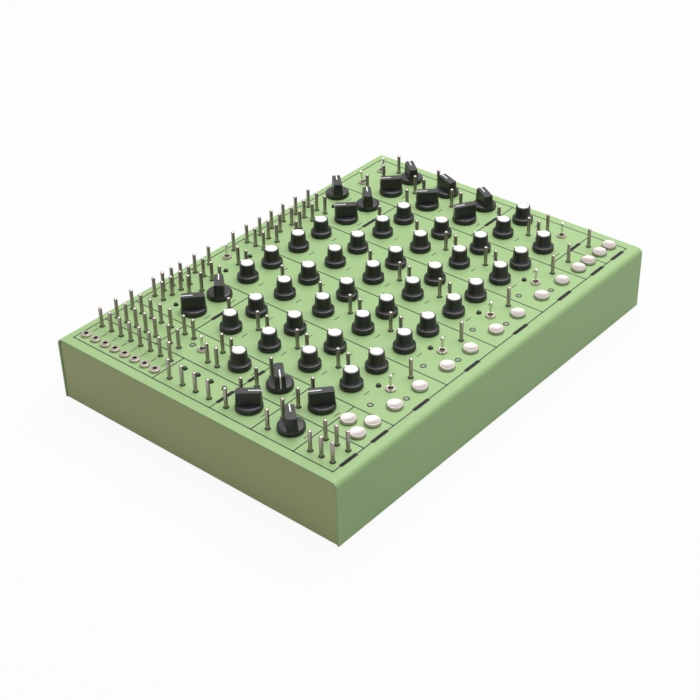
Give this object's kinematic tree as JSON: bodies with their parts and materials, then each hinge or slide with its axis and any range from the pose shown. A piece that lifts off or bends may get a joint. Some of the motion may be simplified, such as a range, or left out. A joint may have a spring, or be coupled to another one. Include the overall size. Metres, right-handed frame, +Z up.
{
  "type": "analog synthesizer",
  "caption": "Desktop semi-modular analog drum synthesizer in a folded steel case, with turning knobs, toggle switches, a field of patch pins and touch pads.",
  "frame": {"origin": "middle of the case's footprint, on the surface that the feet stand on", "axes": "+X along the front edge to the right, +Y from the front to the back, +Z up"},
  "size_m": [0.405, 0.2956, 0.078],
  "materials": {
    "case_green": "satin powder coat",
    "circuit_board": "solder mask",
    "touch_metal": "brushed",
    "black_plastic": "satin moulded",
    "toggle_metal": "polished"
  },
  "bodies": {
    "case": {"base_tray": "case_green", "main_board": "circuit_board", "mini_jack_board": "circuit_board", "rear_socket_board": "circuit_board", "top_cover": "case_green", "touch_pad_board": "touch_metal"},
    "knob_r2_c9": {"knob_r2_c9": "black_plastic"},
    "knob_r3_c1": {"knob_r3_c1": "black_plastic"},
    "knob_r3_c2": {"knob_r3_c2": "black_plastic"},
    "knob_r3_c3": {"knob_r3_c3": "black_plastic"},
    "knob_r3_c4": {"knob_r3_c4": "black_plastic"},
    "knob_r3_c5": {"knob_r3_c5": "black_plastic"},
    "knob_r3_c6": {"knob_r3_c6": "black_plastic"},
    "knob_r3_c7": {"knob_r3_c7": "black_plastic"},
    "knob_r3_c8": {"knob_r3_c8": "black_plastic"},
    "knob_r3_c9": {"knob_r3_c9": "black_plastic"},
    "knob_r4_c10": {"knob_r4_c10": "black_plastic"},
    "knob_r4_c11": {"knob_r4_c11": "black_plastic"},
    "knob_r4_c2": {"knob_r4_c2": "black_plastic"},
    "knob_r4_c3": {"knob_r4_c3": "black_plastic"},
    "knob_r4_c4": {"knob_r4_c4": "black_plastic"},
    "knob_r4_c5": {"knob_r4_c5": "black_plastic"},
    "knob_r4_c6": {"knob_r4_c6": "black_plastic"},
    "knob_r4_c7": {"knob_r4_c7": "black_plastic"},
    "knob_r4_c8": {"knob_r4_c8": "black_plastic"},
    "knob_r4_c9": {"knob_r4_c9": "black_plastic"},
    "knob_r5_c10": {"knob_r5_c10": "black_plastic"},
    "knob_r5_c2": {"knob_r5_c2": "black_plastic"},
    "knob_r5_c3": {"knob_r5_c3": "black_plastic"},
    "knob_r5_c4": {"knob_r5_c4": "black_plastic"},
    "knob_r5_c5": {"knob_r5_c5": "black_plastic"},
    "knob_r5_c6": {"knob_r5_c6": "black_plastic"},
    "knob_r5_c7": {"knob_r5_c7": "black_plastic"},
    "knob_r5_c8": {"knob_r5_c8": "black_plastic"},
    "knob_r5_c9": {"knob_r5_c9": "black_plastic"},
    "pointer_knob_back": {"pointer_knob_back": "black_plastic"},
    "pointer_knob_r1_c10": {"pointer_knob_r1_c10": "black_plastic"},
    "pointer_knob_r1_c11": {"pointer_knob_r1_c11": "black_plastic"},
    "pointer_knob_r1_c2": {"pointer_knob_r1_c2": "black_plastic"},
    "pointer_knob_r1_c3": {"pointer_knob_r1_c3": "black_plastic"},
    "pointer_knob_r1_c8": {"pointer_knob_r1_c8": "black_plastic"},
    "pointer_knob_r1_c9": {"pointer_knob_r1_c9": "black_plastic"},
    "pointer_knob_r2_c10": {"pointer_knob_r2_c10": "black_plastic"},
    "pointer_knob_r2_c11": {"pointer_knob_r2_c11": "black_plastic"},
    "pointer_knob_r3_c10": {"pointer_knob_r3_c10": "black_plastic"},
    "pointer_knob_r3_c11": {"pointer_knob_r3_c11": "black_plastic"},
    "pointer_knob_r4_c0": {"pointer_knob_r4_c0": "black_plastic"},
    "pointer_knob_r4_c1": {"pointer_knob_r4_c1": "black_plastic"},
    "pointer_knob_r5_c0": {"pointer_knob_r5_c0": "black_plastic"},
    "pointer_knob_r5_c1": {"pointer_knob_r5_c1": "black_plastic"},
    "power_rocker": {"power_rocker": "black_plastic"},
    "toggle_lever_1": {"toggle_lever_1": "toggle_metal"},
    "toggle_lever_2": {"toggle_lever_2": "toggle_metal"},
    "toggle_lever_3": {"toggle_lever_3": "toggle_metal"},
    "toggle_lever_4": {"toggle_lever_4": "toggle_metal"},
    "toggle_lever_5": {"toggle_lever_5": "toggle_metal"},
    "toggle_lever_6": {"toggle_lever_6": "toggle_metal"},
    "toggle_lever_7": {"toggle_lever_7": "toggle_metal"},
    "toggle_lever_8": {"toggle_lever_8": "toggle_metal"},
    "toggle_lever_9": {"toggle_lever_9": "toggle_metal"}
  },
  "joints": [
    {"name": "knob_r2_c9_turn", "type": "hinge", "parent": "case", "child": "knob_r2_c9", "pos_m": [0.11515, 0.0462, 0.06], "axis": [0, 0, 1], "range_deg": [-135, 135]},
    {"name": "knob_r3_c1_turn", "type": "hinge", "parent": "case", "child": "knob_r3_c1", "pos_m": [-0.1409, 0.0044, 0.06], "axis": [0, 0, 1], "range_deg": [-135, 135]},
    {"name": "knob_r3_c2_turn", "type": "hinge", "parent": "case", "child": "knob_r3_c2", "pos_m": [-0.107, 0.0044, 0.06], "axis": [0, 0, 1], "range_deg": [-135, 135]},
    {"name": "knob_r3_c3_turn", "type": "hinge", "parent": "case", "child": "knob_r3_c3", "pos_m": [-0.077, 0.0044, 0.06], "axis": [0, 0, 1], "range_deg": [-135, 135]},
    {"name": "knob_r3_c4_turn", "type": "hinge", "parent": "case", "child": "knob_r3_c4", "pos_m": [-0.04295, 0.0044, 0.06], "axis": [0, 0, 1], "range_deg": [-135, 135]},
    {"name": "knob_r3_c5_turn", "type": "hinge", "parent": "case", "child": "knob_r3_c5", "pos_m": [-0.01295, 0.0044, 0.06], "axis": [0, 0, 1], "range_deg": [-135, 135]},
    {"name": "knob_r3_c6_turn", "type": "hinge", "parent": "case", "child": "knob_r3_c6", "pos_m": [0.0211, 0.0044, 0.06], "axis": [0, 0, 1], "range_deg": [-135, 135]},
    {"name": "knob_r3_c7_turn", "type": "hinge", "parent": "case", "child": "knob_r3_c7", "pos_m": [0.0511, 0.0044, 0.06], "axis": [0, 0, 1], "range_deg": [-135, 135]},
    {"name": "knob_r3_c8_turn", "type": "hinge", "parent": "case", "child": "knob_r3_c8", "pos_m": [0.08515, 0.0044, 0.06], "axis": [0, 0, 1], "range_deg": [-135, 135]},
    {"name": "knob_r3_c9_turn", "type": "hinge", "parent": "case", "child": "knob_r3_c9", "pos_m": [0.11515, 0.0044, 0.06], "axis": [0, 0, 1], "range_deg": [-135, 135]},
    {"name": "knob_r4_c10_turn", "type": "hinge", "parent": "case", "child": "knob_r4_c10", "pos_m": [0.1492, -0.0374, 0.06], "axis": [0, 0, 1], "range_deg": [-135, 135]},
    {"name": "knob_r4_c11_turn", "type": "hinge", "parent": "case", "child": "knob_r4_c11", "pos_m": [0.1792, -0.0374, 0.06], "axis": [0, 0, 1], "range_deg": [-135, 135]},
    {"name": "knob_r4_c2_turn", "type": "hinge", "parent": "case", "child": "knob_r4_c2", "pos_m": [-0.107, -0.0374, 0.06], "axis": [0, 0, 1], "range_deg": [-135, 135]},
    {"name": "knob_r4_c3_turn", "type": "hinge", "parent": "case", "child": "knob_r4_c3", "pos_m": [-0.077, -0.0374, 0.06], "axis": [0, 0, 1], "range_deg": [-135, 135]},
    {"name": "knob_r4_c4_turn", "type": "hinge", "parent": "case", "child": "knob_r4_c4", "pos_m": [-0.04295, -0.0374, 0.06], "axis": [0, 0, 1], "range_deg": [-135, 135]},
    {"name": "knob_r4_c5_turn", "type": "hinge", "parent": "case", "child": "knob_r4_c5", "pos_m": [-0.01295, -0.0374, 0.06], "axis": [0, 0, 1], "range_deg": [-135, 135]},
    {"name": "knob_r4_c6_turn", "type": "hinge", "parent": "case", "child": "knob_r4_c6", "pos_m": [0.0211, -0.0374, 0.06], "axis": [0, 0, 1], "range_deg": [-135, 135]},
    {"name": "knob_r4_c7_turn", "type": "hinge", "parent": "case", "child": "knob_r4_c7", "pos_m": [0.0511, -0.0374, 0.06], "axis": [0, 0, 1], "range_deg": [-135, 135]},
    {"name": "knob_r4_c8_turn", "type": "hinge", "parent": "case", "child": "knob_r4_c8", "pos_m": [0.08515, -0.0374, 0.06], "axis": [0, 0, 1], "range_deg": [-135, 135]},
    {"name": "knob_r4_c9_turn", "type": "hinge", "parent": "case", "child": "knob_r4_c9", "pos_m": [0.11515, -0.0374, 0.06], "axis": [0, 0, 1], "range_deg": [-135, 135]},
    {"name": "knob_r5_c10_turn", "type": "hinge", "parent": "case", "child": "knob_r5_c10", "pos_m": [0.1492, -0.0792, 0.06], "axis": [0, 0, 1], "range_deg": [-135, 135]},
    {"name": "knob_r5_c2_turn", "type": "hinge", "parent": "case", "child": "knob_r5_c2", "pos_m": [-0.107, -0.0792, 0.06], "axis": [0, 0, 1], "range_deg": [-135, 135]},
    {"name": "knob_r5_c3_turn", "type": "hinge", "parent": "case", "child": "knob_r5_c3", "pos_m": [-0.077, -0.0792, 0.06], "axis": [0, 0, 1], "range_deg": [-135, 135]},
    {"name": "knob_r5_c4_turn", "type": "hinge", "parent": "case", "child": "knob_r5_c4", "pos_m": [-0.04295, -0.0792, 0.06], "axis": [0, 0, 1], "range_deg": [-135, 135]},
    {"name": "knob_r5_c5_turn", "type": "hinge", "parent": "case", "child": "knob_r5_c5", "pos_m": [-0.01295, -0.0792, 0.06], "axis": [0, 0, 1], "range_deg": [-135, 135]},
    {"name": "knob_r5_c6_turn", "type": "hinge", "parent": "case", "child": "knob_r5_c6", "pos_m": [0.0211, -0.0792, 0.06], "axis": [0, 0, 1], "range_deg": [-135, 135]},
    {"name": "knob_r5_c7_turn", "type": "hinge", "parent": "case", "child": "knob_r5_c7", "pos_m": [0.0511, -0.0792, 0.06], "axis": [0, 0, 1], "range_deg": [-135, 135]},
    {"name": "knob_r5_c8_turn", "type": "hinge", "parent": "case", "child": "knob_r5_c8", "pos_m": [0.08515, -0.0792, 0.06], "axis": [0, 0, 1], "range_deg": [-135, 135]},
    {"name": "knob_r5_c9_turn", "type": "hinge", "parent": "case", "child": "knob_r5_c9", "pos_m": [0.11515, -0.0792, 0.06], "axis": [0, 0, 1], "range_deg": [-135, 135]},
    {"name": "pointer_knob_r1_c2_turn", "type": "hinge", "parent": "case", "child": "pointer_knob_r1_c2", "pos_m": [-0.107, 0.088, 0.06], "axis": [0, 0, 1], "range_deg": [-183, 87]},
    {"name": "pointer_knob_r1_c3_turn", "type": "hinge", "parent": "case", "child": "pointer_knob_r1_c3", "pos_m": [-0.077, 0.088, 0.06], "axis": [0, 0, 1], "range_deg": [-89, 181]},
    {"name": "pointer_knob_r1_c8_turn", "type": "hinge", "parent": "case", "child": "pointer_knob_r1_c8", "pos_m": [0.08515, 0.088, 0.06], "axis": [0, 0, 1], "range_deg": [-180, 90]},
    {"name": "pointer_knob_r1_c9_turn", "type": "hinge", "parent": "case", "child": "pointer_knob_r1_c9", "pos_m": [0.11515, 0.088, 0.06], "axis": [0, 0, 1], "range_deg": [-89, 181]},
    {"name": "pointer_knob_r1_c10_turn", "type": "hinge", "parent": "case", "child": "pointer_knob_r1_c10", "pos_m": [0.1492, 0.088, 0.06], "axis": [0, 0, 1], "range_deg": [-180, 90]},
    {"name": "pointer_knob_r1_c11_turn", "type": "hinge", "parent": "case", "child": "pointer_knob_r1_c11", "pos_m": [0.1792, 0.088, 0.06], "axis": [0, 0, 1], "range_deg": [-96, 174]},
    {"name": "pointer_knob_r2_c10_turn", "type": "hinge", "parent": "case", "child": "pointer_knob_r2_c10", "pos_m": [0.1492, 0.0462, 0.06], "axis": [0, 0, 1], "range_deg": [-178, 92]},
    {"name": "pointer_knob_r2_c11_turn", "type": "hinge", "parent": "case", "child": "pointer_knob_r2_c11", "pos_m": [0.1792, 0.0462, 0.06], "axis": [0, 0, 1], "range_deg": [-115, 155]},
    {"name": "pointer_knob_r3_c10_turn", "type": "hinge", "parent": "case", "child": "pointer_knob_r3_c10", "pos_m": [0.1492, 0.0044, 0.06], "axis": [0, 0, 1], "range_deg": [-194, 76]},
    {"name": "pointer_knob_r3_c11_turn", "type": "hinge", "parent": "case", "child": "pointer_knob_r3_c11", "pos_m": [0.1792, 0.0044, 0.06], "axis": [0, 0, 1], "range_deg": [-105, 165]},
    {"name": "pointer_knob_r4_c0_turn", "type": "hinge", "parent": "case", "child": "pointer_knob_r4_c0", "pos_m": [-0.1748, -0.0374, 0.06], "axis": [0, 0, 1], "range_deg": [0, 275]},
    {"name": "pointer_knob_r4_c1_turn", "type": "hinge", "parent": "case", "child": "pointer_knob_r4_c1", "pos_m": [-0.1409, -0.0374, 0.06], "axis": [0, 0, 1], "range_deg": [-272, 0]},
    {"name": "pointer_knob_r5_c0_turn", "type": "hinge", "parent": "case", "child": "pointer_knob_r5_c0", "pos_m": [-0.1748, -0.0792, 0.06], "axis": [0, 0, 1], "range_deg": [-93, 177]},
    {"name": "pointer_knob_r5_c1_turn", "type": "hinge", "parent": "case", "child": "pointer_knob_r5_c1", "pos_m": [-0.1409, -0.0792, 0.06], "axis": [0, 0, 1], "range_deg": [-184, 86]},
    {"name": "pointer_knob_back_turn", "type": "hinge", "parent": "case", "child": "pointer_knob_back", "pos_m": [0.11515, 0.124, 0.06], "axis": [0, 0, 1], "range_deg": [-91, 179]},
    {"name": "toggle_lever_1_flip", "type": "hinge", "parent": "case", "child": "toggle_lever_1", "pos_m": [-0.0925, -0.1052, 0.0598], "axis": [0, 1, 0], "range_deg": [-12, 12]},
    {"name": "toggle_lever_2_flip", "type": "hinge", "parent": "case", "child": "toggle_lever_2", "pos_m": [-0.02845, -0.1052, 0.0598], "axis": [0, 1, 0], "range_deg": [-12, 12]},
    {"name": "toggle_lever_3_flip", "type": "hinge", "parent": "case", "child": "toggle_lever_3", "pos_m": [0.0356, -0.1052, 0.0598], "axis": [0, 1, 0], "range_deg": [-12, 12]},
    {"name": "toggle_lever_4_flip", "type": "hinge", "parent": "case", "child": "toggle_lever_4", "pos_m": [0.09965, -0.1052, 0.0598], "axis": [0, 1, 0], "range_deg": [-12, 12]},
    {"name": "toggle_lever_5_flip", "type": "hinge", "parent": "case", "child": "toggle_lever_5", "pos_m": [0.1778, -0.0795, 0.0598], "axis": [0, 1, 0], "range_deg": [-12, 12]},
    {"name": "toggle_lever_6_flip", "type": "hinge", "parent": "case", "child": "toggle_lever_6", "pos_m": [-0.143, 0.0428, 0.0598], "axis": [0, 1, 0], "range_deg": [-12, 12]},
    {"name": "toggle_lever_7_flip", "type": "hinge", "parent": "case", "child": "toggle_lever_7", "pos_m": [-0.029, 0.126, 0.0598], "axis": [0, 1, 0], "range_deg": [-12, 12]},
    {"name": "toggle_lever_8_flip", "type": "hinge", "parent": "case", "child": "toggle_lever_8", "pos_m": [0.1478, 0.1203, 0.0598], "axis": [0, 1, 0], "range_deg": [0, 24]},
    {"name": "toggle_lever_9_flip", "type": "hinge", "parent": "case", "child": "toggle_lever_9", "pos_m": [0.1763, 0.121, 0.0598], "axis": [0, 1, 0], "range_deg": [-24, 0]},
    {"name": "power_rocker_flip", "type": "hinge", "parent": "case", "child": "power_rocker", "pos_m": [-0.105, 0.1455, 0.028], "axis": [1, 0, 0], "range_deg": [0, 16]}
  ]
}
